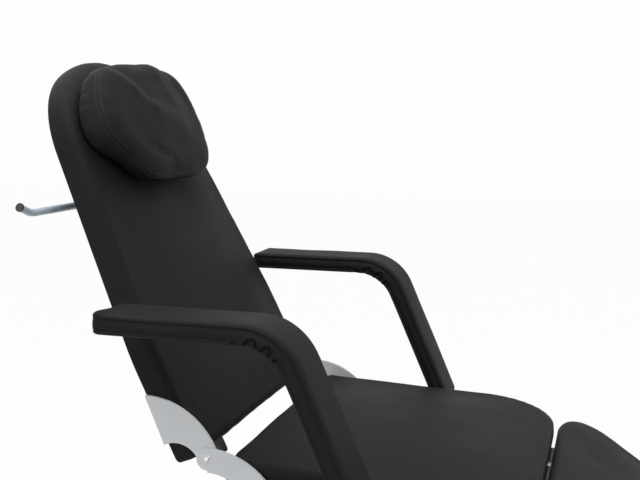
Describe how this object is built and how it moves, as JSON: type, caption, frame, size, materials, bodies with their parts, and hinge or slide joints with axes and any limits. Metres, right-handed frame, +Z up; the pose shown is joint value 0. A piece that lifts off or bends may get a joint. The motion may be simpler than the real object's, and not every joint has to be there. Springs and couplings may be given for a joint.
{
  "type": "tattoo chair",
  "caption": "Reclining tattoo and treatment chair: padded back, seat and leg rest on a steel tube frame, bent padded armrests, head pillow and paper roll bar.",
  "frame": {"origin": "on the floor, under the middle of the chair's length and on its centre plane", "axes": "+X to the sitter's feet, +Y to the sitter's left, +Z up"},
  "size_m": [1.3897, 0.779, 1.2538],
  "materials": {
    "upholstery": "black smooth faux leather, satin",
    "board": "plywood board under black lining",
    "frame_paint": "black powder coat",
    "plate_paint": "light grey powder coat, satin",
    "bar_paint": "light grey powder coat",
    "black_plastic": "moulded, matt",
    "glide_rubber": "matt",
    "zinc_steel": "zinc plated"
  },
  "bodies": {
    "seat_frame": {"seat_cushion": "upholstery", "seat_board": "board", "right_seat_rail": "frame_paint", "left_seat_rail": "frame_paint", "seat_cross_rear": "frame_paint", "seat_cross_front": "frame_paint", "right_seat_hinge_plate": "plate_paint", "left_seat_hinge_plate": "plate_paint", "right_rear_leg": "frame_paint", "left_rear_leg": "frame_paint", "right_front_leg": "frame_paint", "left_front_leg": "frame_paint", "right_floor_rail": "frame_paint", "left_floor_rail": "frame_paint", "rear_stretcher": "frame_paint", "front_stretcher": "frame_paint", "tube_caps": "black_plastic", "foot_glides": "glide_rubber", "hinge_bolts": "zinc_steel", "hinge_bolt_rings": "zinc_steel", "hinge_nuts": "zinc_steel", "ratchet_wheels": "zinc_steel", "leg_hinge_brackets": "frame_paint", "leg_hinge_bolts": "zinc_steel", "leg_hinge_nuts": "zinc_steel", "right_arm_socket": "frame_paint", "left_arm_socket": "frame_paint"},
    "backrest": {"back_cushion": "upholstery", "back_board": "board", "right_back_rail": "frame_paint", "left_back_rail": "frame_paint", "back_stub": "frame_paint", "back_stub_cap": "black_plastic", "back_cross_low": "frame_paint", "back_cross_top": "frame_paint", "right_back_hinge_plate": "plate_paint", "left_back_hinge_plate": "plate_paint", "ratchet_housings": "plate_paint", "ratchet_pawls": "zinc_steel", "roll_bar_socket": "frame_paint", "back_board_screws": "zinc_steel", "roll_socket_screws": "zinc_steel"},
    "leg_rest": {"leg_cushion": "upholstery", "leg_board": "board", "right_leg_rail": "frame_paint", "left_leg_rail": "frame_paint", "leg_cross_knee": "frame_paint", "leg_cross_foot": "frame_paint", "leg_hinge_lugs": "frame_paint", "leg_frame_screws": "zinc_steel"},
    "right_armrest": {"right_arm_pad": "upholstery", "right_arm_core": "zinc_steel"},
    "left_armrest": {"left_arm_pad": "upholstery", "left_arm_core": "zinc_steel"},
    "right_arm_knob": {"right_arm_knob": "black_plastic"},
    "left_arm_knob": {"left_arm_knob": "black_plastic"},
    "head_pillow": {"head_pillow": "upholstery"},
    "roll_bar": {"roll_bar": "bar_paint", "roll_bar_cap": "black_plastic"},
    "roll_bar_knob": {"roll_bar_knob": "black_plastic"}
  },
  "joints": [
    {"name": "backrest_hinge", "type": "hinge", "parent": "seat_frame", "child": "backrest", "pos_m": [-0.32146, 0, 0.6], "axis": [0, -1, 0], "range_deg": [-10.7, 64.3]},
    {"name": "leg_rest_hinge", "type": "hinge", "parent": "seat_frame", "child": "leg_rest", "pos_m": [0.20004, 0, 0.539], "axis": [0, 1, 0], "range_deg": [-34.5, 25.5]},
    {"name": "right_armrest_slide", "type": "slide", "parent": "seat_frame", "child": "right_armrest", "axis": [-0.4003, 0, 0.9164], "range_m": [0, 0.09]},
    {"name": "left_armrest_slide", "type": "slide", "parent": "seat_frame", "child": "left_armrest", "axis": [-0.4003, 0, 0.9164], "range_m": [0, 0.09]},
    {"name": "right_arm_knob_turn", "type": "hinge", "parent": "seat_frame", "child": "right_arm_knob", "pos_m": [-0.01568, -0.341, 0.48319], "axis": [0.9164, 0, 0.4003], "continuous": true},
    {"name": "left_arm_knob_turn", "type": "hinge", "parent": "seat_frame", "child": "left_arm_knob", "pos_m": [-0.01568, 0.341, 0.48319], "axis": [0.9164, 0, 0.4003], "continuous": true},
    {"name": "head_pillow_slide", "type": "slide", "parent": "backrest", "child": "head_pillow", "axis": [-0.4337, 0, 0.9011], "range_m": [-0.16, 0.03]},
    {"name": "roll_bar_slide", "type": "slide", "parent": "backrest", "child": "roll_bar", "axis": [0, -1, 0], "range_m": [-0.12, 0.04]},
    {"name": "roll_bar_knob_turn", "type": "hinge", "parent": "backrest", "child": "roll_bar_knob", "pos_m": [-0.63761, 0.2, 0.98942], "axis": [-0.9011, 0, -0.4337], "continuous": true}
  ]
}
